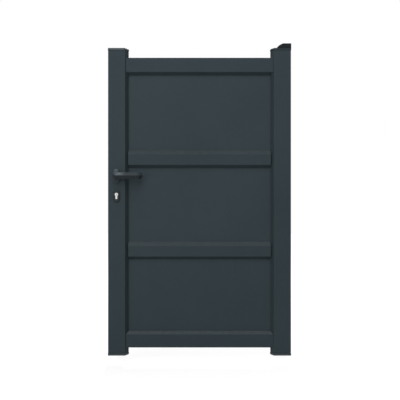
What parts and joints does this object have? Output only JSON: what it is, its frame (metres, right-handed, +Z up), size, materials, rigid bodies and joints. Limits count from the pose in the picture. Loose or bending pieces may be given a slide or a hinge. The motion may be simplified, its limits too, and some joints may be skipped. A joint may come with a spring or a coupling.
{
  "type": "pedestrian gate leaf with hinge brackets",
  "caption": "Plain panelled metal pedestrian gate leaf with stiles, rails, flat panels, lever handles, key lock and lift-off hinges on bolted post brackets",
  "frame": {"origin": "middle of the post face of the lower hinge bracket plate", "axes": "+X toward the hinge post, +Y to the back of the gate, into the property, +Z up"},
  "size_m": [0.9694, 0.2115, 1.6512],
  "materials": {
    "frame_paint": "satin",
    "panel_paint": "satin",
    "cap_plastic": "matte",
    "hinge_black": "satin",
    "handle_black": "satin",
    "bright_steel": "satin",
    "lock_steel": "satin",
    "key_nickel": "polished",
    "bush_plastic": "matte"
  },
  "bodies": {
    "hinge_brackets": {"upper_hinge_bracket": "hinge_black", "lower_hinge_bracket": "hinge_black", "upper_hinge_pin": "bright_steel", "lower_hinge_pin": "bright_steel"},
    "leaf": {"upper_hinge_strap": "hinge_black", "lower_hinge_eye": "hinge_black", "upper_hinge_bush": "bush_plastic", "lower_hinge_bush": "bush_plastic", "lock_stile": "frame_paint", "hinge_stile": "frame_paint", "top_rail": "frame_paint", "upper_mid_rail": "frame_paint", "lower_mid_rail": "frame_paint", "bottom_rail": "frame_paint", "upper_panel": "panel_paint", "middle_panel": "panel_paint", "lower_panel": "panel_paint", "upper_rail_lock_plug": "cap_plastic", "upper_rail_hinge_plug": "cap_plastic", "lower_rail_lock_plug": "cap_plastic", "lower_rail_hinge_plug": "cap_plastic", "lock_stile_top_cap": "cap_plastic", "lock_stile_foot_cap": "cap_plastic", "hinge_stile_top_cap": "cap_plastic", "hinge_stile_foot_cap": "cap_plastic", "mortice_lock": "lock_steel", "latch_bolt": "lock_steel", "dead_bolt": "lock_steel", "key_cylinder": "key_nickel", "front_key_rose": "handle_black", "back_key_rose": "handle_black", "front_handle_rose": "handle_black", "back_handle_rose": "handle_black"},
    "handle": {"front_lever": "handle_black", "back_lever": "handle_black", "spindle": "bright_steel"}
  },
  "joints": [
    {"name": "gate_swing", "type": "hinge", "parent": "hinge_brackets", "child": "leaf", "pos_m": [-0.033, -0.028, 0], "axis": [0, 0, -1], "range_deg": [0, 90]},
    {"name": "handle_turn", "type": "hinge", "parent": "leaf", "child": "handle", "pos_m": [-0.923, -0.08, 0.7668], "axis": [0, 1, 0], "range_deg": [0, 40], "stiffness_Nm_per_rad": 1.5, "springref_deg": -20.05}
  ]
}
